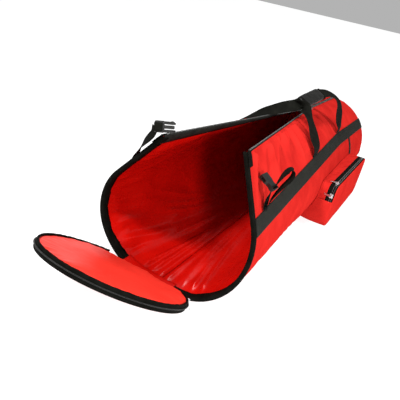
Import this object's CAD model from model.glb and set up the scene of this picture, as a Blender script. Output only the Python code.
# Looks of a padded cylindrical carry bag for a vehicle fire blanket: unzipped, with its round
# lid folded out. Metres, in the CAD frame: +Z up, +Y from the mouth to the closed end.
# A place on the wall is (run, y, depth): run round the outer face from the bottom centre line
# (positive to the right), y from the mouth, depth inward.
import math
import bpy
import numpy as np
from mathutils import Matrix, Vector


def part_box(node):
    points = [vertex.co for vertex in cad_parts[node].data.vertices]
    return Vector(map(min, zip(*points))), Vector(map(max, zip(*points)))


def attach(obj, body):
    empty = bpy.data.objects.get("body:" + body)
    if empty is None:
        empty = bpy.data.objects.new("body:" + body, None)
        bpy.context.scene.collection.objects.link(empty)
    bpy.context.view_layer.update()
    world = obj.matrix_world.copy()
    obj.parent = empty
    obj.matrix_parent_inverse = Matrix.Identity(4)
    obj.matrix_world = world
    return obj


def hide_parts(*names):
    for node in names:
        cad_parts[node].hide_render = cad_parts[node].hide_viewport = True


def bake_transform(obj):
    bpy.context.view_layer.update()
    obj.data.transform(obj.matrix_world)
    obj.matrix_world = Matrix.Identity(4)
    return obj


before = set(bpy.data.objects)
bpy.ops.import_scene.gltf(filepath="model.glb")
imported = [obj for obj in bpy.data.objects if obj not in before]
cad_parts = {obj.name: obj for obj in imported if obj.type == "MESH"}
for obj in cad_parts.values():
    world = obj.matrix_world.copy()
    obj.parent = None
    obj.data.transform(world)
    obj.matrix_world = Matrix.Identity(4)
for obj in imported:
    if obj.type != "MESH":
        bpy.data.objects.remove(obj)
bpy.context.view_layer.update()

MM = 0.001

# The wall: its section is a flat base, then arcs up each side, given as (radius, degrees).
BAG_LENGTH = 1.35
HALF_GIRTH = 0.597
BASE_FLAT = 0.045
ZIP_JUNCTION = 0.96     # y where the zip starts to be closed
MOUTH_CANT = 0.1        # lean of the mouth's edge
TUBE_HIGH = (HALF_GIRTH + BASE_FLAT * (math.pi / 2 - 1)) / math.pi
TUBE_ARCS = [(TUBE_HIGH - BASE_FLAT, 90), (TUBE_HIGH, 90)]
RIM_ARCS = {"right": [(0.180, 63), (0.205, 51)], "left": [(0.190, 57), (0.142, 73)]}
CLOTH = 0.0012
LINING_DEPTH = 0.0078
LINING_INNER = 0.0091
CORNER_RUN = HALF_GIRTH - 0.003
SIDES = (("right", 1), ("left", -1))

# Webbing: the side bands' middle run, both widths and the thickness.
BAND_RUN = 0.417
WEBBING = 0.045
NARROW = 0.020
WEBBING_THICK = 0.0016

# Zip coils: a flattened helix.
COIL_PITCH = 0.0022
COIL_RADIUS = 0.0015
COIL_WIRE = 0.0005
COIL_FLATNESS = 0.75

# The lid: its hinge's middle, how far it is folded out, and its outline.
LID_ORIGIN = (-0.034, -0.695, 0.028)
LID_ANGLE = math.radians(30)
LID_RADIUS = 0.187
LID_HALF_CHORD = 0.117
LID_CENTRE = math.sqrt((LID_RADIUS + 0.002) ** 2 - LID_HALF_CHORD ** 2)
LID_TOP = 0.0148

# The pocket: its reach from the mouth and from the ground, and its x planes.
POCKET_Y = (0.660, 1.130)
POCKET_Z = (0.032, 0.193)
POCKET_CORNER = 0.026
POCKET_FACE_X = 0.264
POCKET_ZIP_X = 0.252
POCKET_SPLIT_Z = 0.131


# ---- numbers: wall shape, noise ----

def walk(arcs, run):
    """Across, up and heading after run along the flat, the arcs and a straight stretch."""
    x = np.minimum(run, BASE_FLAT)
    left = run - x
    z = np.zeros_like(x)
    heading = np.zeros_like(x)
    for radius, degrees in arcs:
        part = np.minimum(left, radius * math.radians(degrees))
        ahead = heading + part / radius
        x = x + radius * (np.sin(ahead) - np.sin(heading))
        z = z + radius * (np.cos(heading) - np.cos(ahead))
        heading = ahead
        left = left - part
    return x + left * np.cos(heading), z + left * np.sin(heading), heading


def wall(run, y, depth=0.0):
    """Points on the bag's wall: the mouth's section turns into the tube's in straight lines."""
    run, y, depth = np.broadcast_arrays(*(np.asarray(v, float) for v in (run, y, depth)))
    size = np.abs(run)
    tube = walk(TUBE_ARCS, size)
    sides = zip(walk(RIM_ARCS["right"], size), walk(RIM_ARCS["left"], size))
    rim = [np.where(run < 0, left, right) for right, left in sides]
    spread = np.maximum(0, 1 - y / ZIP_JUNCTION)
    x, z, heading = (t + (r - t) * spread for t, r in zip(tube, rim))
    x = x - np.sin(heading) * depth
    z = z + np.cos(heading) * depth
    return np.stack([np.where(run < 0, -x, x), y + MOUTH_CANT * spread * z - BAG_LENGTH / 2, z], -1)


def smooth(x, low, high):
    """0 below low, 1 above high, smooth between."""
    t = np.clip((np.asarray(x, float) - low) / (high - low), 0, 1)
    return t * t * (3 - 2 * t)


def noise(u, v, seed):
    """Repeatable smooth noise from -1 to 1."""
    table = np.random.RandomState(seed).uniform(-1, 1, (256, 256))
    u, v = np.broadcast_arrays(np.asarray(u, float), np.asarray(v, float))
    i, j = np.floor(u).astype(int), np.floor(v).astype(int)
    a, b = smooth(u - i, 0, 1), smooth(v - j, 0, 1)
    near = table[i % 256, j % 256] * (1 - a) + table[(i + 1) % 256, j % 256] * a
    far = table[i % 256, (j + 1) % 256] * (1 - a) + table[(i + 1) % 256, (j + 1) % 256] * a
    return near * (1 - b) + far * b


def folds(u, v, seed):
    """Rounded folds with sharper creases between them, from -1 to 1."""
    coarse = noise(u, v, seed)
    fine = noise(u * 2.1 + 7, v * 1.6, seed + 1)
    creases = 1 - 2 * np.abs(noise(u * 1.3 + 3, v * 1.2, seed + 2))
    return 0.5 * coarse + 0.2 * fine + 0.35 * creases


def spaced(low, high, step):
    """Evenly spaced numbers from low to high, about a step apart."""
    return np.linspace(low, high, max(2, int(round(abs(high - low) / step)) + 1))


def unit(vectors):
    """Vectors scaled to length one."""
    return vectors / np.maximum(np.linalg.norm(vectors, axis=-1, keepdims=True), 1e-12)


def travelled(points):
    """Distance along a line of points, up to each of them."""
    return np.concatenate([[0], np.cumsum(np.linalg.norm(np.diff(points, axis=0), axis=1))])


# ---- meshes ----

def mesh_object(name, points, faces, uvs=None):
    """A smooth mesh object from points, faces and one UV pair for each point."""
    mesh = bpy.data.meshes.new(name)
    mesh.from_pydata([tuple(p) for p in points], [], [tuple(f) for f in faces])
    if uvs is not None:
        layer = mesh.uv_layers.new(name="metres")
        index = np.empty(len(mesh.loops), int)
        mesh.loops.foreach_get("vertex_index", index)
        layer.data.foreach_set("uv", np.asarray(uvs, np.float32)[index].ravel())
    mesh.validate()
    mesh.shade_smooth()
    piece = bpy.data.objects.new(name, mesh)
    bpy.context.scene.collection.objects.link(piece)
    return piece


def grid_faces(rows, columns, start=0, flip=False):
    """Quads of a grid whose points are stored row by row."""
    r, c = np.meshgrid(np.arange(rows - 1), np.arange(columns - 1), indexing="ij")
    a = start + r * columns + c
    quads = np.stack([a, a + columns, a + columns + 1, a + 1], -1).reshape(-1, 4)
    return quads[:, ::-1] if flip else quads


def slab(name, upper, lower, uvs):
    """Closed piece between two grids of points of the same size."""
    rows, columns = upper.shape[:2]
    count = rows * columns
    index = np.arange(count).reshape(rows, columns)
    rim = np.concatenate([index[0, :-1], index[:-1, -1], index[-1, :0:-1], index[:0:-1, 0]])
    following = np.roll(rim, -1)
    sides = np.stack([rim, following, following + count, rim + count], -1)
    faces = np.concatenate([
        grid_faces(rows, columns), grid_faces(rows, columns, count, True), sides])
    points = np.concatenate([upper.reshape(-1, 3), lower.reshape(-1, 3)])
    return mesh_object(name, points, faces, np.concatenate([uvs.reshape(-1, 2)] * 2))


def wall_slab(name, runs, ys, top, bottom, step=(0.005, 0.005), relief=None):
    """A layer of the wall between two runs, two stations and two depths, with relief."""
    run, y = np.meshgrid(spaced(*runs, step[0]), spaced(*ys, step[1]), indexing="ij")
    offset = relief(run, y) if relief else 0.0
    upper, lower = wall(run, y, top + offset), wall(run, y, bottom + offset)
    return slab(name, upper, lower, np.stack([run, y], -1))


def sweep(name, sections):
    """Closed piece from cross-sections, each a ring of points, capped at both ends."""
    sections = np.asarray(sections, float)
    rows, columns = sections.shape[:2]
    r, c = np.meshgrid(np.arange(rows - 1), np.arange(columns), indexing="ij")
    near, far, beside = r * columns, (r + 1) * columns, (c + 1) % columns
    sides = np.stack([near + c, near + beside, far + beside, far + c], -1)
    first = np.arange(columns)
    faces = sides.reshape(-1, 4).tolist() + [first[::-1].tolist(), (first + (rows - 1) * columns).tolist()]
    uvs = np.stack(np.meshgrid(travelled(sections[0]), travelled(sections[:, 0])), -1)
    return mesh_object(name, sections.reshape(-1, 3), faces, uvs.reshape(-1, 2))


def spline(points, count):
    """Points on a smooth curve through the given rows, evenly spaced in parameter."""
    points = np.asarray(points, float)
    padded = np.concatenate([2 * points[:1] - points[1:2], points, 2 * points[-1:] - points[-2:-1]])
    t = np.linspace(0, len(points) - 1 - 1e-9, count)
    i = np.floor(t).astype(int)
    f = (t - i)[:, None]
    a, b, c, d = (padded[i + k] for k in range(4))
    return 0.5 * (2 * b + (c - a) * f + (2 * a - 5 * b + 4 * c - d) * f ** 2
                  + (3 * b - a - 3 * c + d) * f ** 3)


def ribbon(name, route, across, width, count, thick=WEBBING_THICK):
    """Webbing along a route, with the direction of its width at each of the route's points."""
    line = spline(route, count)
    along = unit(np.gradient(line, axis=0))
    side = spline(unit(np.asarray(across, float)), count)
    side = unit(side - along * np.sum(side * along, 1, keepdims=True))
    normal = np.cross(along, side)
    shares = np.linspace(-0.5, 0.5, 13)
    edge = 1 - 0.55 * (np.abs(shares) * 2) ** 12
    middle = line[:, None] + side[:, None] * (shares * width)[None, :, None]
    half = normal[:, None] * (thick / 2 * edge)[None, :, None]
    uvs = np.stack(np.meshgrid(shares * width, travelled(line)), -1)
    return slab(name, middle + half, middle - half, uvs)


def coil(name, path):
    """Zip coil: a flattened helix of nylon wire round a path."""
    path = np.asarray(path, float)
    length = travelled(path)
    turns = int(length[-1] / COIL_PITCH)
    steps = 8
    at = np.linspace(0, length[-1], turns * steps + 1)
    line = np.stack([np.interp(at, length, path[:, k]) for k in range(3)], -1)
    along = unit(np.gradient(line, axis=0))
    out = unit(np.cross(along, np.where(np.abs(along[:, 2:3]) > 0.9, [[0, 1, 0]], [[0, 0, 1]])))
    up = np.cross(out, along)
    angle = 2 * math.pi * np.arange(len(at)) / steps
    centre = line + out * (np.cos(angle) * COIL_RADIUS)[:, None]
    centre = centre + up * (np.sin(angle) * COIL_RADIUS * COIL_FLATNESS)[:, None]
    spoke = unit(centre - line)
    other = unit(np.cross(unit(np.gradient(centre, axis=0)), spoke))
    around = 2 * math.pi * np.arange(5) / 5
    ring = (spoke[:, None] * np.cos(around)[None, :, None]
            + other[:, None] * np.sin(around)[None, :, None])
    return sweep(name, centre[:, None] + ring * COIL_WIRE)


# ---- materials ----

def shader(name, colour, roughness, metallic=0.0, specular=0.5):
    """A material with its Principled shader's uniform values set on its own sockets."""
    material = bpy.data.materials.new(name)
    material.use_nodes = True
    surface = material.node_tree.nodes["Principled BSDF"]
    surface.inputs["Base Color"].default_value = (*colour, 1)
    surface.inputs["Roughness"].default_value = roughness
    surface.inputs["Metallic"].default_value = metallic
    surface.inputs["Specular IOR Level"].default_value = specular
    return material, surface


def add(material, kind, **settings):
    """A node with some of its properties or input values set."""
    node = material.node_tree.nodes.new(kind)
    for key, value in settings.items():
        if hasattr(node, key):
            setattr(node, key, value)
        else:
            node.inputs[key.replace("_", " ").title()].default_value = value
    return node


def link(material, source, target):
    """Joins an output socket to an input socket."""
    material.node_tree.links.new(source, target)


def coordinates(material, kind="Object", scale=(1, 1, 1)):
    """Texture coordinates, stretched by scale."""
    source = add(material, "ShaderNodeTexCoord")
    mapping = add(material, "ShaderNodeMapping", scale=scale)
    link(material, source.outputs[kind], mapping.inputs["Vector"])
    return mapping.outputs["Vector"]


def noise_texture(material, vector, scale, detail=3.0, roughness=0.5):
    """Noise from 0 to 1 at a number of features a metre."""
    node = add(material, "ShaderNodeTexNoise", scale=scale, detail=detail, roughness=roughness)
    link(material, vector, node.inputs["Vector"])
    return node.outputs["Fac"]


def threads(material, vector, direction, per_metre):
    """Fine parallel threads, from 0 to 1."""
    node = add(material, "ShaderNodeTexWave", bands_direction=direction,
               scale=per_metre * math.pi / 20, distortion=0.6, detail=1.0, detail_scale=0.4)
    link(material, vector, node.inputs["Vector"])
    return node.outputs["Fac"]


def mixed(material, fac, dark, light):
    """A colour between two, by a factor from 0 to 1."""
    node = add(material, "ShaderNodeValToRGB")
    stops = zip(node.color_ramp.elements, (dark, light), (0.25, 0.75))
    for stop, colour, position in stops:
        stop.color = (*colour, 1)
        stop.position = position
    link(material, fac, node.inputs["Fac"])
    return node.outputs["Color"]


def product(material, a, b):
    """Two factors multiplied."""
    node = add(material, "ShaderNodeMath", operation="MULTIPLY")
    link(material, a, node.inputs[0])
    link(material, b, node.inputs[1])
    return node.outputs[0]


def rough_between(material, surface, fac, low, high):
    """Roughness that varies with a factor."""
    node = add(material, "ShaderNodeMapRange", to_min=low, to_max=high)
    link(material, fac, node.inputs["Value"])
    link(material, node.outputs["Result"], surface.inputs["Roughness"])


def bumps(material, surface, layers):
    """Bump from several heights, each with its strength and distance."""
    normal = None
    for height, strength, distance in layers:
        node = add(material, "ShaderNodeBump", strength=strength, distance=distance)
        link(material, height, node.inputs["Height"])
        if normal:
            link(material, normal, node.inputs["Normal"])
        normal = node.outputs["Normal"]
    link(material, normal, surface.inputs["Normal"])


def nylon(name, dark, light, roughness, crease=0.35, specular=0.2):
    """Coated woven nylon: a fine weave, small creases and slightly uneven colour."""
    material, surface = shader(name, light, roughness[0], specular=specular)
    vector = coordinates(material)
    cloud = noise_texture(material, vector, 14, 4)
    link(material, mixed(material, cloud, dark, light), surface.inputs["Base Color"])
    rough_between(material, surface, noise_texture(material, vector, 60), *roughness)
    cross = product(material, threads(material, vector, "Y", 900), threads(material, vector, "Z", 900))
    wrinkles = noise_texture(material, coordinates(material, "Object", (26, 12, 26)), 1, 3, 0.5)
    bumps(material, surface, [(wrinkles, crease, 0.004), (cross, 0.15, 0.0002)])
    return material


def webbing(name, dark, light, rib=0.0016, specular=0.08):
    """Woven webbing: ribs along it, crossed by rows of thread."""
    material, surface = shader(name, light, 0.75, specular=specular)
    vector = coordinates(material, "UV")
    ribs = threads(material, vector, "X", 1 / rib)
    rows = threads(material, vector, "Y", 1 / (rib * 0.8))
    cloud = noise_texture(material, coordinates(material), 40, 4)
    link(material, mixed(material, cloud, dark, light), surface.inputs["Base Color"])
    rough_between(material, surface, cloud, 0.6, 0.85)
    bumps(material, surface, [(ribs, 0.5, 0.0006), (rows, 0.4, 0.0004)])
    return material


def moulded(name, colour, roughness=0.4):
    """Moulded plastic with a faint grain and softly worn gloss."""
    material, surface = shader(name, colour, roughness, specular=0.35)
    vector = coordinates(material)
    cloud = noise_texture(material, vector, 90, 3)
    tint = [tuple(min(1, c * k) for c in colour) for k in (0.75, 1.25)]
    link(material, mixed(material, cloud, *tint), surface.inputs["Base Color"])
    rough_between(material, surface, noise_texture(material, vector, 300), roughness - 0.1, roughness + 0.12)
    bumps(material, surface, [(noise_texture(material, vector, 1500, 2), 0.15, 0.0002)])
    return material


def plated(name, colour):
    """Plated metal with fine scratches and dull patches."""
    material, surface = shader(name, colour, 0.25, metallic=1.0)
    vector = coordinates(material)
    dull = noise_texture(material, vector, 200, 4)
    tint = [tuple(c * k for c in colour) for k in (0.7, 1.0)]
    link(material, mixed(material, dull, *tint), surface.inputs["Base Color"])
    rough_between(material, surface, dull, 0.15, 0.4)
    scratches = noise_texture(material, coordinates(material, "Object", (900, 120, 900)), 1, 2)
    bumps(material, surface, [(scratches, 0.1, 0.0001)])
    return material


RED = nylon("outer_nylon", (0.34, 0.011, 0.009), (0.44, 0.017, 0.013), (0.36, 0.52), 0.3, 0.0)
LID_RED = nylon("lid_nylon", (0.62, 0.024, 0.014), (0.70, 0.030, 0.018), (0.4, 0.55), 0.12, 0.12)
LINING_RED = nylon("lining_nylon", (0.34, 0.0015, 0.0005), (0.43, 0.003, 0.001), (0.22, 0.36), 0.12, 0.3)
BLACK_TAPE = webbing("binding_tape", (0.0015, 0.0015, 0.001), (0.005, 0.005, 0.004), 0.0012, 0.02)
BLACK_WEB = webbing("black_webbing", (0.004, 0.0042, 0.003), (0.011, 0.0115, 0.0085))
ZIP_TAPE = webbing("zip_tape", (0.005, 0.005, 0.004), (0.014, 0.014, 0.012), 0.001)
COIL_NYLON = moulded("zip_coil_nylon", (0.04, 0.042, 0.04), 0.35)
LID_COIL = moulded("lid_coil_nylon", (0.016, 0.016, 0.015), 0.5)
GRIP_CLOTH = nylon("grip_cloth", (0.002, 0.002, 0.0015), (0.006, 0.006, 0.005), (0.3, 0.45), 0.6, 0.12)
PLASTIC = moulded("buckle_plastic", (0.007, 0.007, 0.006), 0.3)
HANDLE_WEB = webbing("handle_webbing", (0.0025, 0.0026, 0.002), (0.007, 0.0072, 0.0055), 0.0016, 0.03)
METAL = plated("plated_metal", (0.72, 0.72, 0.73))


def finish_piece(piece, material, body, slot, *nodes):
    """Gives a piece its material, body and slot, and the CAD nodes that it stands for."""
    piece.data.materials.clear()
    piece.data.materials.append(material)
    if isinstance(body, str):
        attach(piece, body)
    else:
        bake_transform(piece)
    if nodes:
        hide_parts(*nodes)
    return piece


# ---- bag: outer cloth ----

def side_relief(run, y):
    """Deep puckers below the zip's stitching, which fade towards the band."""
    size = np.abs(run)
    share = np.clip((size - 0.444) / (0.583 - 0.444), 0, 1)
    fan = (y - 0.03) / 0.050 + 0.9 * (1 - share) * np.sin(y * 6 + 1)
    sharp = 1 - 2 * np.abs(noise(fan, share * 0.8, 11)) ** 0.7
    depth = sharp + 0.4 * noise(fan * 2.1, share * 1.2, 13)
    soft = noise(y / 0.15, share * 1.4, 21)
    near_zip = np.where(run > 0, 1 - smooth(share, 0.95, 1.0), 1 - smooth(share, 0.3, 0.75))
    hold = smooth(share, 0, 0.25) * near_zip * smooth(y, 0.015, 0.05)
    strength = (9.0 - 5.0 * smooth(y, 0.60, 1.05)) * (0.45 + 0.65 * share)
    over_tape = 0.6 + 9 * (1 - smooth(size, 0.558, 0.568))
    return MM * np.minimum(-hold * (strength * depth + 3.0 * soft), over_tape)


def base_relief(run, y):
    """Slanting creases below the band, with none where the bag rests or the pocket is sewn."""
    size = np.abs(run)
    slant = y / 0.055 + size / 0.05
    depth = folds(slant, size / 0.22, 31)
    soft = noise(y / 0.2, size / 0.13, 41)
    hold = smooth(size, 0.07, 0.13) * (1 - smooth(size, 0.375, 0.396))
    beside_pocket = smooth(y, 0.60, 0.67) * (1 - smooth(y, 1.12, 1.19))
    hold = hold * (1 - beside_pocket * (run > 0)) * smooth(y, 0.02, 0.07)
    return -MM * hold * (2.4 * depth + 2.6 * soft)


def make_outer_cloth():
    """Base panel and two side panels."""
    far = BAG_LENGTH - 0.0015
    step = (0.005, 0.004)
    base = wall_slab("bag_base_cloth", (-BAND_RUN, BAND_RUN), (0, far), 0, CLOTH, step, base_relief)
    finish_piece(base, RED, "bag", "red_cloth", "base_panel")
    for name, side in SIDES:
        runs = sorted((side * (BAND_RUN + 0.0003), side * (HALF_GIRTH - 0.0085)))
        panel = wall_slab(f"bag_{name}_cloth", runs, (0, far), 0, CLOTH, (0.004, 0.003), side_relief)
        finish_piece(panel, RED, "bag", "red_cloth", f"{name}_side_panel")


# ---- bag: lining ----

def lining_relief(run, y):
    """Folds that run in from the binding, slack further in, and a sunk seam on the floor."""
    size = np.abs(run)
    near = 1 - smooth(y, 0.12, 0.62)
    edge = 1 - smooth(y, 0.03, 0.14)
    drift = 0.30 * np.sin(run * 9) * y
    streaks = 1 - 2 * np.abs(noise((run + drift) / 0.030, y / 0.45, 51)) ** 0.7
    pleats = noise(run / 0.011, y / 0.07, 55)
    slack = folds((run + 0.2 * y) / 0.075, y / 0.38, 61)
    broad = noise(run / 0.17, y / 0.35, 71)
    level = 5
    raised = level + 5.5 * near * streaks + 2.2 * edge * pleats + 3.6 * slack + 3.0 * broad
    hold = smooth(y, 0.014, 0.06) * (1 - smooth(y, 1.26, 1.33)) * smooth(size, 0.001, 0.016)
    hold = hold * (1 - smooth(size, 0.545, 0.578))
    top_edge = smooth(size, 0.562, 0.583)
    return MM * (hold * raised - 5.0 * top_edge - 1.5 * (1 - smooth(size, 0.0, 0.004)))


def make_lining():
    """Lining in two halves that meet in a seam on the floor."""
    far = BAG_LENGTH - 0.0095
    bottom = LINING_DEPTH + 0.001
    for name, side in SIDES:
        runs = sorted((side * 0.0004, side * (HALF_GIRTH - 0.014)))
        piece = wall_slab(f"bag_{name}_lining", runs, (0.001, far), LINING_DEPTH, bottom,
                          (0.004, 0.006), lining_relief)
        finish_piece(piece, LINING_RED, "bag", "lining", f"{name}_lining", f"{name}_foam")


def round_end(name, y, thick, depth, bulge, seed):
    """The closed end as a disc with the tube's outline, crowned and slightly uneven."""
    outline = wall(np.linspace(-HALF_GIRTH, HALF_GIRTH, 181), y, depth)
    centre = outline.mean(0)
    outline = outline[:-1]
    share = np.linspace(0.004, 1, 46)[:, None, None]
    front = centre + (outline - centre)[None] * share
    lift = bulge * (1 - share[..., 0] ** 3)
    uneven = noise(front[..., 0] / 0.06, front[..., 2] / 0.06, seed) * 0.0015 * (1 - share[..., 0] ** 6)
    front[..., 1] += lift + uneven
    back = front - np.array([0, thick, 0])
    return sweep(name, np.concatenate([front, back[::-1]]))


def make_closed_end():
    """End cloth outside, end lining inside."""
    cloth = round_end("bag_end_cloth", BAG_LENGTH, CLOTH, 0.0, 0.010, 81)
    finish_piece(cloth, RED, "bag", "red_cloth", "end_cloth", "end_foam")
    inner = round_end("bag_end_lining", BAG_LENGTH - 0.0078, 0.001, 0.0085, -0.004, 91)
    finish_piece(inner, LINING_RED, "bag", "lining", "end_lining")


# ---- bag: mouth binding, bands, zip ----

def binding_profile(leg_out, leg_in):
    """Folded tape across the mouth's edge, as (y, depth) points in a closed ring."""
    thick = 0.0013
    outside, inside = -0.0003 - thick, LINING_INNER + thick
    bend = 0.004
    turn = np.linspace(0, math.pi / 2, 5)
    front = -0.0016
    outer = [(leg_out, outside), (leg_out * 0.6, outside), (leg_out * 0.3, outside)]
    outer += [(front + bend - bend * math.sin(a), outside + bend - bend * math.cos(a)) for a in turn]
    outer += [(front + bend - bend * math.cos(a), inside - bend + bend * math.sin(a)) for a in turn]
    outer += [(leg_in * 0.3, inside), (leg_in * 0.6, inside), (leg_in, inside)]
    back = [(leg_in, inside - thick), (leg_in * 0.5, inside - thick),
            (0.003, inside - thick - 0.001), (0.0, 0.004), (0.003, outside + thick + 0.001),
            (leg_out * 0.5, outside + thick), (leg_out, outside + thick)]
    return outer + back


def make_binding():
    """Black tape folded over the mouth's edge, drawn into small puckers by its stitching."""
    leg_out, leg_in = 0.0075, 0.022
    for name, runs in (("right", (0.0004, CORNER_RUN)), ("left", (-CORNER_RUN, -0.0004))):
        sections = []
        for run in spaced(*runs, 0.003):
            wave_in = 0.0024 * noise(run / 0.013, 0.5, 101) + 0.0042 * noise(run / 0.035, 2.5, 101)
            wave_out = 0.0008 * noise(run / 0.02, 4.5, 101)
            puff = 0.0006 * noise(run / 0.009, 8.5, 101)
            ring = binding_profile(leg_out + wave_out, leg_in + wave_in)
            ys = np.array([p[0] for p in ring])
            depths = np.array([p[1] for p in ring])
            depths = depths + np.where(depths > 0.005, 1, -0.3) * abs(puff)
            point = wall(run, ys, depths)
            point[:, 2] = np.maximum(point[:, 2], 0.0)
            sections.append(point)
        piece = sweep(f"mouth_{name}_binding", sections)
        finish_piece(piece, BLACK_TAPE, "bag", "binding", f"{name}_binding")


def make_tabs():
    """Folded tape over each top corner of the mouth."""
    for name, side in SIDES:
        runs = sorted((side * (CORNER_RUN - 0.036), side * CORNER_RUN))
        pinch = lambda run, y: -0.0008 * np.abs(noise(run / 0.008, y / 0.008, 111))
        tab = wall_slab(f"mouth_{name}_tab", runs, (-0.0015, 0.025), -0.0032, -0.0018,
                        (0.001, 0.001), pinch)
        finish_piece(tab, BLACK_TAPE, "bag", "binding", f"{name}_tab")


def band_relief(run, y):
    """The band's slight waviness between its rows of stitching."""
    return -0.0007 * np.abs(noise(y / 0.09, np.abs(run) / 0.03, 121))


def make_bands():
    """Wide webbing along each side and the narrow strap to the pocket."""
    half = WEBBING / 2
    for name, side in SIDES:
        runs = sorted((side * (BAND_RUN - half), side * (BAND_RUN + half)))
        band = wall_slab(f"side_band_{name}", runs, (0.0075, BAG_LENGTH), -0.0019, -0.0003,
                         (0.0035, 0.006), band_relief)
        finish_piece(band, BLACK_WEB, "bag", "webbing", f"{name}_band")
    start = BAND_RUN - half - 0.001
    strap = wall_slab("pocket_hanger", (start - 0.072, start), (1.090, 1.110), -0.0019, -0.0003,
                      (0.004, 0.0025), band_relief)
    finish_piece(strap, BLACK_WEB, "bag", "webbing", "pocket_strap")


def turned_out(side, y):
    """How far the left tape is turned out over the cloth, where the opening gapes."""
    return 0.0 if side > 0 else float(1 - smooth(y, 0.62, 0.72))


def edge_tape(side, y):
    """Section of the zip's tape, which is folded over the lining at the opening's edge."""
    out = turned_out(side, y)
    edge = HALF_GIRTH - 0.0051 + 0.0039 * out
    wobble = 0.0012 * float(noise(y / 0.022, side + 3.5, 131))
    hem = edge - 0.026 + wobble
    flange = edge - 0.010 * (1 + out)
    outside = [(flange, 0.0022 - 0.0030 * out), (edge - 0.006, 0.0019 - 0.0027 * out),
               (edge - 0.002, 0.0014 - 0.0020 * out), (edge, 0.0024), (edge - 0.002, 0.0050),
               (edge - 0.010, 0.0088), (hem, 0.0118)]
    inside = [(hem, 0.0106), (edge - 0.010, 0.0078), (edge - 0.003, 0.0044),
              (edge - 0.0025, 0.0030 - 0.0016 * out), (edge - 0.006, 0.0029 - 0.0032 * out),
              (flange, 0.0031 - 0.0033 * out)]
    runs, depths = np.array(outside + inside).T
    return wall(side * runs, y, depths)


def make_main_zip():
    """Tapes with their coils along both edges of the lengthwise opening."""
    near, far = 0.024, BAG_LENGTH - 0.0015
    under_tab = 0.006
    for name, side in SIDES:
        start = near if side > 0 else under_tab
        sections = [edge_tape(side, y) for y in spaced(start, far, 0.005)]
        tape = sweep(f"main_zip_{name}_tape", sections if side > 0 else sections[::-1])
        finish_piece(tape, ZIP_TAPE, "bag", "zip_tape", f"{name}_zip_tape")
        ys = spaced(near, far - 0.012, 0.004)
        depth = np.array([0.0019 - 0.0036 * turned_out(side, y) for y in ys])
        path = wall(side * (HALF_GIRTH - 0.0032), ys, depth)
        teeth = coil(f"main_zip_{name}_coil", path)
        finish_piece(teeth, COIL_NYLON, "bag", "zip_coil", f"{name}_zip_coil")


# ---- lid ----

def lid_points(local):
    """Points from the lid's own frame: origin on the hinge, +Y out along the lid."""
    local = np.asarray(local, float)
    turned = local * np.array([-1, -1, 1])
    y, z = turned[..., 1], turned[..., 2]
    cos, sin = math.cos(-LID_ANGLE), math.sin(-LID_ANGLE)
    return np.stack([turned[..., 0], y * cos - z * sin, y * sin + z * cos], -1) + LID_ORIGIN


def lid_edge(angle, radius):
    """Distance from the lid's centre to its edge: round, but straight at the hinge."""
    down = np.maximum(-np.sin(angle), 1e-6)
    straight = (LID_CENTRE - 0.0008) / down
    return np.minimum(radius, straight)


def lid_ring(angles, radius, height):
    """Points round the lid's centre, in the lid's own frame."""
    flat = (np.cos(angles) * radius, LID_CENTRE + np.sin(angles) * radius, height)
    return np.stack(np.broadcast_arrays(*flat), -1)


def make_lid_pad():
    """The lid's padded disc: crowned, with small puckers where its edge is sewn."""
    angles = np.linspace(0, 2 * math.pi, 240, endpoint=False)
    edge = lid_edge(angles, LID_RADIUS - 0.0004)
    rings = []
    for share in np.linspace(0.01, 1, 44):
        height = LID_TOP - 0.0015 + 0.0035 * (1 - share ** 4) - 0.004 * smooth(share, 0.96, 1)
        pucker = noise(angles * 16, share * 3, 141) * 0.0016 * smooth(share, 0.72, 0.93)
        slack = noise(np.cos(angles) * share * 2.2 + 5, np.sin(angles) * share * 2.2 + 5, 151) * 0.0028
        z = height + (pucker + slack) * (1 - smooth(share, 0.95, 1))
        rings.append(lid_ring(angles, edge * share, z))
    for share in np.linspace(1, 0.01, 20):
        rings.append(lid_ring(angles, edge * share, 0.0005 + 0.002 * smooth(share, 0.94, 1)))
    pad = sweep("lid_pad", lid_points(rings))
    finish_piece(pad, LID_RED, "lid", "red_cloth", "lid_lining", "lid_foam", "lid_cloth")


def make_lid_edge():
    """Binding and zip coil round the lid, from one end of the hinge to the other."""
    start = -math.pi / 2 + math.asin(LID_HALF_CHORD / (LID_RADIUS + 0.002)) + 0.012
    angles = np.linspace(start, math.pi - start, 420)
    sections = []
    for angle in angles:
        ripple = float(noise(angle * 22, 0.5, 161)) * 0.0007
        lean = 0.0026 + 0.5 * ripple
        profile = [(0.0, -0.0030), (0.0006, -0.0042), (0.0013, -0.0030), (0.0014, 0.004),
                   (0.0014, 0.011), (0.0008, 0.0152 + ripple), (-0.0004, 0.0166 + ripple),
                   (-lean, 0.0163 + ripple), (-0.0048, 0.0150 + ripple),
                   (-0.0046, 0.0141 + ripple), (-0.0018, 0.0148), (0.0, 0.0135), (0.0, 0.005)]
        offsets, heights = np.array(profile).T
        sections.append(lid_ring(angle, LID_RADIUS + 0.0003 + offsets, heights))
    edge = sweep("lid_edge_tape", lid_points(sections))
    finish_piece(edge, BLACK_TAPE, "lid", "binding", "lid_zip_tape")
    teeth = coil("lid_edge_coil", lid_points(lid_ring(angles, LID_RADIUS + 0.0034, 0.0063)))
    finish_piece(teeth, LID_COIL, "lid", "zip_coil", "lid_zip_coil")


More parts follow.
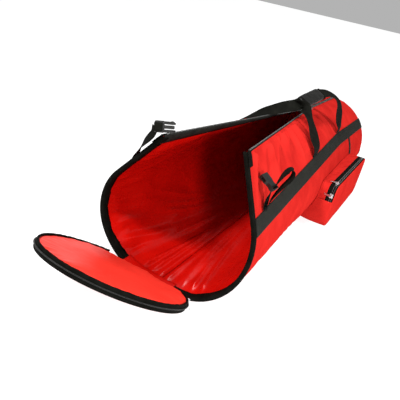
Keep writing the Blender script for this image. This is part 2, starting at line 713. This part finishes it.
def make_hinge_lip():
    """Padded lip sewn between the mouth's bottom edge and the lid, and the cloth over the fold."""
    low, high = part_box("hinge_flap")
    across = spaced(low.x + 0.004, high.x - 0.004, 0.004)
    rows = []
    shares = np.linspace(0, 1, 9)
    for x in across:
        wave = 0.0008 * noise(x / 0.03, 2.5, 171)
        y = low.y + 0.0008 + (high.y - low.y - 0.0016) * shares
        top = 0.0262 - 0.013 * shares ** 1.5 + wave * np.sin(shares * math.pi)
        rows.append(np.stack([np.full_like(y, x), y, top], -1))
    upper = np.array(rows)
    lower = upper.copy()
    out_from_middle, underside = (0, 0.045, 0.09, 0.13, 0.16), (0.0004, 0.0006, 0.006, 0.021, 0.03)
    lower[..., 2] = np.interp(np.abs(upper[..., 0]), out_from_middle, underside)
    lower[..., 2] = np.minimum(lower[..., 2], upper[..., 2] - 0.001)
    lip = slab("hinge_lip", upper, lower, upper[..., :2])
    finish_piece(lip, LINING_RED, "bag", "red_cloth", "hinge_flap")


def make_hinge_cover():
    """Red cloth that carries the lip on over the binding's inner leg, down to the lining."""
    runs = spaced(-0.120, 0.046, 0.003)
    ys = np.concatenate([[-0.0035, -0.003], spaced(-0.0015, 0.030, 0.0025)])
    low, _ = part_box("hinge_flap")
    rows = []
    for run in runs:
        wave = 0.0009 * noise(run / 0.02, 1.5, 172)
        over = wall(run, ys, 0.0121 + wave - 0.0014 * smooth(ys, 0.024, 0.030))
        front = np.array([over[0, 0], low.y + 0.006, 0.0258])
        share = np.linspace(0, 1, 6)[:-1, None]
        sag = np.array([0, 0, -0.003]) * np.sin(share * math.pi)
        rows.append(np.concatenate([front + (over[0] - front) * share + sag, over]))
    upper = np.array(rows)
    lower = upper - np.array([0, 0, 0.0009])
    cover = slab("hinge_cover", upper, lower, upper[..., :2])
    finish_piece(cover, LINING_RED, "bag", "red_cloth")


# ---- pocket ----

def pocket_outline(step=0.004, inset=0.0):
    """The pocket's rounded outline seen from the side, as (y from the mouth, z) points."""
    radius = POCKET_CORNER - inset
    y_a, y_b = POCKET_Y[0] + inset, POCKET_Y[1] - inset
    z_a, z_b = POCKET_Z[0] + inset, POCKET_Z[1] - inset
    corners = [(y_a + radius, z_a + radius, 180), (y_b - radius, z_a + radius, 270),
               (y_b - radius, z_b - radius, 0), (y_a + radius, z_b - radius, 90)]
    dense = []
    for y, z, start in corners:
        for degrees in np.linspace(start, start + 90, 12):
            turn = math.radians(degrees)
            dense.append((y + radius * math.cos(turn), z + radius * math.sin(turn)))
    dense = np.array(dense + dense[:1])
    length = travelled(dense)
    at = np.linspace(0, length[-1], int(length[-1] / step), endpoint=False)
    return np.stack([np.interp(at, length, dense[:, k]) for k in (0, 1)], -1)


def wall_x(y, z):
    """How far out the bag's right wall is at a height."""
    runs = np.linspace(0, BAND_RUN, 200)
    points = wall(runs, y, -0.0008)
    return float(np.interp(z, points[:, 2], points[:, 0]))


def outline_part(outline, low, high):
    """The part of an outline between two heights, as one line without a gap."""
    part = np.array([p for p in outline if low < p[1] < high])
    gaps = np.linalg.norm(np.diff(part, axis=0), axis=1)
    if gaps.max() > 0.02:
        part = np.roll(part, -int(gaps.argmax()) - 1, axis=0)
    return part


def pocket_shell(name, x_end, low, high, seed, puff):
    """The pocket's side cloth between the bag's wall and a face, puffed between its seams."""
    outline = outline_part(pocket_outline(), low, high)
    tangent = unit(np.gradient(outline, axis=0))
    outward = np.stack([tangent[:, 1], -tangent[:, 0]], -1)
    length = travelled(outline)
    start = np.array([wall_x(y, z) for y, z in outline])
    share = np.linspace(0, 1, 22)
    rows = []
    for (y, z), out, x_0, at in zip(outline, outward, start, length):
        x = x_0 + (x_end - x_0) * share
        hold = np.sin(math.pi * np.clip(share, 0, 1)) ** 0.7
        swell = hold * (puff + 0.0022 * folds(at / 0.035 + share, share * 1.5, seed))
        rows.append(np.stack([x, y + out[0] * swell - BAG_LENGTH / 2, z + out[1] * swell], -1))
    upper = np.array(rows)
    inner = upper.copy()
    inner[..., 1] -= outward[:, None, 0] * 0.0018
    inner[..., 2] -= outward[:, None, 1] * 0.0018
    uvs = np.stack([np.broadcast_to(length[:, None], upper.shape[:2]), upper[..., 0]], -1)
    return slab(name, upper, inner, uvs)


def make_pocket_face():
    """The pocket's outer face in one cloth, which folds at its split when unzipped."""
    outline = pocket_outline(0.004, 0.0006)
    centre = outline.mean(0)
    share = np.linspace(0.01, 1, 40)
    points = centre + (outline - centre)[None] * share[:, None, None]
    edge = 1 - share[:, None] ** 5
    crown = 0.006 * edge + 0.0022 * folds(points[..., 0] / 0.07, points[..., 1] / 0.05, 181) * edge
    rim = -0.0012 * smooth(share, 0.975, 1)[:, None]
    x = POCKET_FACE_X - 0.0002 + crown + rim
    upper = np.stack([x, points[..., 0] - BAG_LENGTH / 2, points[..., 1]], -1)
    lower = upper - np.array([0.0016, 0, 0])
    rings = np.concatenate([upper, lower[::-1]])
    face = sweep("pocket_face", rings)
    hinge = (POCKET_FACE_X, 0.22, POCKET_SPLIT_Z)
    finish_piece(face, RED, ("bag", "pocket_flap", (hinge[0], hinge[1], hinge[2] - 0.012),
                             (hinge[0], hinge[1], hinge[2] + 0.012)), "red_cloth", "pocket_flap")


def pocket_arch(low, inset):
    """The zipped part of the outline, from its low front end over the top to the rear."""
    outline = outline_part(pocket_outline(0.002, inset), low, POCKET_Z[1])
    return outline if outline[0, 0] < outline[-1, 0] else outline[::-1]


def pocket_strip(name, x_a, x_b, inset=0.0006):
    """Zip tape along the pocket's arch between two x."""
    arch = pocket_arch(POCKET_SPLIT_Z + 0.001, inset)
    tangent = unit(np.gradient(arch, axis=0))
    inward = np.stack([tangent[:, 1], -tangent[:, 0]], -1)
    xs = np.linspace(x_a, x_b, 6)
    upper = np.array([[(x, y - BAG_LENGTH / 2, z) for x in xs] for y, z in arch])
    lower = upper.copy()
    lower[..., 1] += inward[:, None, 0] * 0.0009
    lower[..., 2] += inward[:, None, 1] * 0.0009
    uvs = np.stack(np.broadcast_arrays(xs[None], travelled(arch)[:, None]), -1)
    return slab(name, upper, lower, uvs)


def make_pocket():
    """Tray below the split, gusset above it, face, tapes and coils."""
    ground, top = 0, POCKET_Z[1] + MM
    tray = pocket_shell("pocket_tray_cloth", POCKET_FACE_X - 0.0018, ground, POCKET_SPLIT_Z + 0.004,
                        191, 0.002)
    finish_piece(tray, RED, "bag", "red_cloth", "pocket_tray")
    gusset = pocket_shell("pocket_gusset_cloth", 0.234, POCKET_SPLIT_Z - 0.001, top, 201, -0.0014)
    finish_piece(gusset, RED, "bag", "red_cloth", "pocket_gusset")
    make_pocket_face()
    inner = pocket_strip("pocket_inner_tape", 0.2342, 0.2468)
    finish_piece(inner, BLACK_TAPE, "bag", "zip_tape", "pocket_gusset_tape")
    outer = pocket_strip("pocket_outer_tape", 0.2571, 0.2618)
    finish_piece(outer, BLACK_TAPE, "pocket_flap", "zip_tape", "pocket_flap_tape")
    arch = pocket_arch(POCKET_SPLIT_Z + 0.003, 0.0009)
    for name, x, body, node in (("inner", -0.0032, "bag", "pocket_gusset_coil"),
                                ("outer", 0.0032, "pocket_flap", "pocket_flap_coil")):
        path = [(POCKET_ZIP_X + x, y - BAG_LENGTH / 2, z) for y, z in arch]
        teeth = coil(f"pocket_{name}_coil", path)
        finish_piece(teeth, COIL_NYLON, body, "zip_coil", node)


# ---- carry handles and grip ----

def grip_frame():
    """The grip's middle and its out, along and broad directions."""
    slope, swing, tilt = (math.radians(v) for v in (5.7, 3.8, 24))
    along = unit(np.array([math.sin(swing), math.cos(swing), math.tan(slope)]))
    broad = np.array([-math.cos(tilt), 0, math.sin(tilt)])
    broad = unit(broad - along * broad.dot(along))
    return np.array([0.051, 0.090, 0.4325]), np.cross(along, broad), along, broad


def in_frame(place, local):
    """Points from a frame given by its origin and three directions."""
    origin, *axes = place
    return origin + np.asarray(local, float) @ np.array(axes)


HANDLE_BENDS = {
    "right_front": [((167, 590, 322), (0.1, 0.99, 0)), ((147, 598, 350), (0.5, 0.84, -0.2)),
                    ((126, 618, 374), (0.45, 0.86, -0.3)), ((100, 637, 397), (0.2, 0.95, -0.1)),
                    ((74, 655, 414), (-0.1, 0.85, 0.5)), ((58, 670, 420), (-0.6, 0.3, 0.75))],
    "right_rear": [((66, 866, 445), (-0.88, 0.3, 0.35)), ((84, 884, 446), (-0.7, 0.65, 0.3)),
                   ((104, 902, 436), (-0.4, 0.9, 0.2)), ((120, 922, 412), (0, 0.99, 0.1)),
                   ((128, 940, 380), (0.2, 0.97, 0)), ((135, 960, 345), (0.2, 0.98, 0)),
                   ((143, 970, 318), (0, 1, 0))],
    "left_front": [((-138, 608, 312), (-0.1, 0.99, 0)), ((-114, 616, 332), (-0.15, 0.98, 0.05)),
                   ((-90, 622, 350), (-0.3, 0.9, 0.15)), ((-60, 626, 370), (-0.5, 0.75, 0.3)),
                   ((-28, 631, 387), (-0.65, 0.6, 0.4)), ((6, 642, 405), (-0.75, 0.4, 0.5)),
                   ((34, 664, 417), (-0.88, 0.15, 0.45))],
    "left_rear": [((57, 868, 440), (-0.9, -0.1, 0.4)), ((50, 890, 428), (-0.85, -0.35, 0.35)),
                  ((32, 912, 407), (-0.6, -0.7, 0.3)), ((2, 929, 389), (-0.2, -0.95, 0.1)),
                  ((-38, 946, 372), (0, -1, 0)), ((-80, 957, 352), (0, -1, 0)),
                  ((-120, 969, 327), (0, -1, 0))],
}


def from_mouth(point):
    """A point in millimetres, with y from the mouth, as metres in the frame."""
    return (point[0] * MM, point[1] * MM - BAG_LENGTH / 2, point[2] * MM)


def make_handles():
    """Two webbing handles, sewn in above the side bands and gathered in the grip."""
    place = grip_frame()
    for name, side in SIDES:
        foot = side * (BAND_RUN + WEBBING / 2 + 0.002)
        layer = side * (WEBBING_THICK / 2 + 0.0006)
        route = [(wall(foot, 0.588, -0.004), (0, 1, 0))]
        route += [(from_mouth(p), a) for p, a in HANDLE_BENDS[f"{name}_front"]]
        for end in (-0.083, -0.076, 0.076, 0.083):
            route.append((in_frame(place, (layer, end, 0)), place[3]))
        route += [(from_mouth(p), a) for p, a in HANDLE_BENDS[f"{name}_rear"]]
        route.append((wall(foot, 0.970, -0.004), (0, side, 0)))
        points, across = zip(*route)
        strap = ribbon(f"carry_strap_{name}", points, across, WEBBING, 260)
        low, high = (side * 0.15, 0.1, 0.285), (side * 0.15, 0.1, 0.375)
        finish_piece(strap, HANDLE_WEB, ("bag", "handles", low, high), "webbing", f"{name}_handle")


def make_grip():
    """Padded sleeve round both straps, and the flap that closes over it."""
    place = grip_frame()
    turn = np.linspace(0, 2 * math.pi, 48, endpoint=False)
    squareness = 0.62
    sections = []
    for share in np.linspace(-1, 1, 60):
        pinch = 1 - 0.06 * abs(share) ** 6 - 0.03 * smooth(abs(share), 0.93, 1)
        dent = 1 + 0.02 * noise(np.cos(turn) * 1.5 + share * 3, np.sin(turn) * 1.5 + 9, 211)
        out, broad = (np.sign(v) * np.abs(v) ** squareness * dent * pinch * half
                      for v, half in ((np.cos(turn), 0.010), (np.sin(turn), 0.025)))
        local = np.stack([out, np.full_like(turn, share * 0.075), broad], -1)
        sections.append(in_frame(place, local))
    sleeve = sweep("grip_wrap", sections)
    finish_piece(sleeve, GRIP_CLOTH, "handles", "grip", "grip_sleeve")
    make_grip_flap(place)


def make_grip_flap(place):
    """The grip's hook-and-loop flap, lying on its outer side."""
    along, broad = np.meshgrid(np.linspace(-1, 1, 50), np.linspace(-1, 1, 20), indexing="ij")
    corner = 1 - 0.06 * np.abs(along) ** 12 * np.abs(broad) ** 2
    bow = 0.0012 * (1 - broad ** 2) + 0.0005 * noise(along * 4, broad * 2, 221)
    edge = 0.0007 * smooth(np.maximum(np.abs(along), np.abs(broad)), 0.93, 1)
    upper = np.stack([0.0124 + bow - edge, along * 0.070, broad * 0.0215 * corner], -1)
    lower = upper - np.array([0.0016, 0, 0])
    lower[..., 0] = np.maximum(lower[..., 0], 0.0103)
    flap = slab("grip_closure", in_frame(place, upper), in_frame(place, lower),
                np.stack([along * 0.07, broad * 0.02], -1))
    finish_piece(flap, GRIP_CLOTH, "grip_flap", "grip", "grip_flap")


# ---- closing straps, loop and CAD hardware ----

def ladder_frame():
    """The male buckle's ladder: its middle, and its forward, across and outward directions."""
    ahead = unit(np.array([0.88, 0.46, 0.13]))
    up = np.array([-0.2, 0, 0.98])
    up = unit(up - ahead * up.dot(ahead))
    return np.array(from_mouth((-79, 20, 418))), ahead, up, np.cross(ahead, up)


def make_left_strap():
    """Strap from the left of the mouth, twisted into the male buckle's ladder."""
    middle, ahead, up, _ = ladder_frame()
    bar = middle - ahead * 0.0095
    places = [(-155, 44, 306), (-147, 42, 320), (-136, 36, 340), (-121, 29, 362), (-103, 21, 383),
              (-91, 16, 399)]
    across = [(0, 1, 0), (0, 1, 0), (-0.3, 0.9, 0.2), (-0.6, 0.6, 0.4), (-0.7, 0.3, 0.5),
              (-0.6, 0.2, 0.7), up]
    strap = ribbon("closing_strap_left", [from_mouth(p) for p in places] + [bar], across, NARROW, 120)
    bend = ("bag", "left_strap", (-0.156, -0.63, 0.304), (-0.148, -0.63, 0.320))
    finish_piece(strap, HANDLE_WEB, bend, "webbing", "left_strap")


def make_buckle_webbing():
    """The left strap's end, threaded through the ladder round its middle bar."""
    place = ladder_frame()
    bends = [(-12.5, 0, 1.2), (-9.5, 0, 4.2), (-6.2, 0, 1.5), (-4.0, 0, -1.8), (0, 0, -3.4),
             (4.8, 0, -1.6), (7.8, 0, 1.5), (4.0, 0, 5.0), (-4.0, 0, 6.2), (-11.0, 0, 6.4)]
    route = in_frame(place, np.array(bends) * MM)
    strap = ribbon("buckle_webbing", route, [place[2]] * len(bends), NARROW, 80, 0.0013)
    finish_piece(strap, HANDLE_WEB, "left_strap", "webbing")


def make_right_strap():
    """Strap on the right wall: through the female buckle, over in a loop and back."""
    profile = [(203.5, 290), (202, 306), (202, 322), (204.5, 337), (209, 351), (213, 366),
               (219, 384), (226, 399), (234, 408), (241, 408), (243, 400), (240, 387),
               (231, 370), (221, 349), (213, 329), (208.5, 311), (208, 293)]
    turns = [0, -0.15, -0.1, 0.1, 0, 0.3, 0.55, 0.7, 0.75, 0.75, 0.75, 0.7, 0.6, 0.5, 0.4, 0.25, 0.1]
    route = [from_mouth((x, 92, z)) for x, z in profile]
    across = [(-math.sin(turn), math.cos(turn), 0.1 * turn) for turn in turns]
    strap = ribbon("closing_strap_right", route, across, NARROW, 220)
    bend = ("bag", "right_strap", (0.2, -0.583, 0.289), (0.2, -0.583, 0.305))
    finish_piece(strap, HANDLE_WEB, bend, "webbing", "right_strap")


def make_end_loop():
    """Small webbing loop at the closed end."""
    x, y, z = from_mouth((188, 1350.6, 143))
    reach, half_height = 0.0182, 0.014
    turns = np.linspace(0, math.pi, 13)
    route = [(x, y + reach * math.sin(turn), z - half_height * math.cos(turn)) for turn in turns]
    loop = ribbon("closed_end_loop", route, [(1, 0, 0)] * len(route), NARROW, 60)
    finish_piece(loop, BLACK_WEB, "bag", "webbing", "end_loop")


def dress_hardware():
    """Materials and softened edges for the rigid CAD nodes that stay visible."""
    metal = [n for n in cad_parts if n.endswith(("slider", "puller"))]
    plastic = ["male_buckle", "upper_arm", "lower_arm", "female_buckle"]
    for names, material in ((metal, METAL), (plastic, PLASTIC)):
        for name in names:
            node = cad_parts[name]
            node.data.materials.clear()
            node.data.materials.append(material)
            bevel = node.modifiers.new("soft_edges", "BEVEL")
            bevel.width = 0.0004
            bevel.segments = 2
            bevel.limit_method = "ANGLE"
    for name, swollen in (("upper_arm", 0.0017), ("lower_arm", 0.0017), ("male_buckle", 0.0009)):
        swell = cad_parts[name].modifiers.new("moulded_swell", "SOLIDIFY")
        swell.thickness = swollen
        swell.offset = 1


# ---- floor, light and camera ----

def make_floor():
    """A plain pale floor under the bag."""
    half, level = 20.0, -0.0005
    points = [(x * half, y * half, level) for x, y in ((-1, -1), (1, -1), (1, 1), (-1, 1))]
    floor = mesh_object("floor", points, [(0, 1, 2, 3)])
    material, surface = shader("pale_floor", (0.3, 0.3, 0.3), 0.9, specular=0.05)
    surface.inputs["Emission Color"].default_value = (1, 1, 1, 1)
    surface.inputs["Emission Strength"].default_value = 0.86
    floor.data.materials.append(material)


def area_light(name, place, aim, size, power):
    """A soft round light aimed at a point."""
    light = bpy.data.lights.new(name, "AREA")
    light.shape = "DISK"
    light.size = size
    light.energy = power
    lamp = bpy.data.objects.new(name, light)
    lamp.location = place
    lamp.rotation_euler = (Vector(aim) - Vector(place)).to_track_quat("-Z", "Y").to_euler()
    bpy.context.scene.collection.objects.link(lamp)


def make_light():
    """Soft studio light: a dim surround, grey beyond the floor, a key from the right, a top
    light over the closed end, one down into the mouth and a fill from the front right."""
    world = bpy.data.worlds.new("studio")
    world.use_nodes = True
    background = world.node_tree.nodes["Background"]
    background.inputs["Color"].default_value = (1, 1, 1, 1)
    background.inputs["Strength"].default_value = 0.45
    bpy.context.scene.world = world
    area_light("key", (2.6, -0.6, 1.15), (0, -0.2, 0.3), 0.35, 62)
    area_light("top", (-0.5, 0.9, 2.6), (0, 0.1, 0.2), 0.8, 26)
    area_light("mouth_key", (-0.5, -1.9, 2.5), (0, -0.6, 0.1), 0.4, 95)
    area_light("side_fill", (1.9, -2.8, 1.1), (-0.1, -0.4, 0.3), 0.4, 78)
    bpy.context.scene.view_settings.view_transform = "Standard"


def make_camera():
    """The camera, from the front right, tilted a little over its own axis."""
    yaw, pitch, roll = (math.radians(v) for v in (25.54, 26.68, 12.36))
    level_part = math.cos(pitch)
    forward = Vector((-math.sin(yaw) * level_part, math.cos(yaw) * level_part, -math.sin(pitch)))
    level = forward.cross(Vector((0, 0, 1))).normalized()
    upright = level.cross(forward)
    right = level * math.cos(roll) + upright * math.sin(roll)
    up = upright * math.cos(roll) - level * math.sin(roll)
    data = bpy.data.cameras.new("camera")
    data.sensor_width = 36
    data.lens = 40.38
    camera = bpy.data.objects.new("camera", data)
    basis = Matrix((right, up, -forward)).transposed().to_4x4()
    camera.matrix_world = Matrix.Translation((0.475, -1.512, 0.760)) @ basis
    bpy.context.scene.collection.objects.link(camera)
    bpy.context.scene.camera = camera


make_camera()
make_light()
make_floor()
make_outer_cloth()
make_lining()
make_closed_end()
make_binding()
make_tabs()
make_bands()
make_main_zip()
make_lid_pad()
make_lid_edge()
make_hinge_lip()
make_hinge_cover()
make_pocket()
make_handles()
make_grip()
make_left_strap()
make_buckle_webbing()
make_right_strap()
make_end_loop()
dress_hardware()
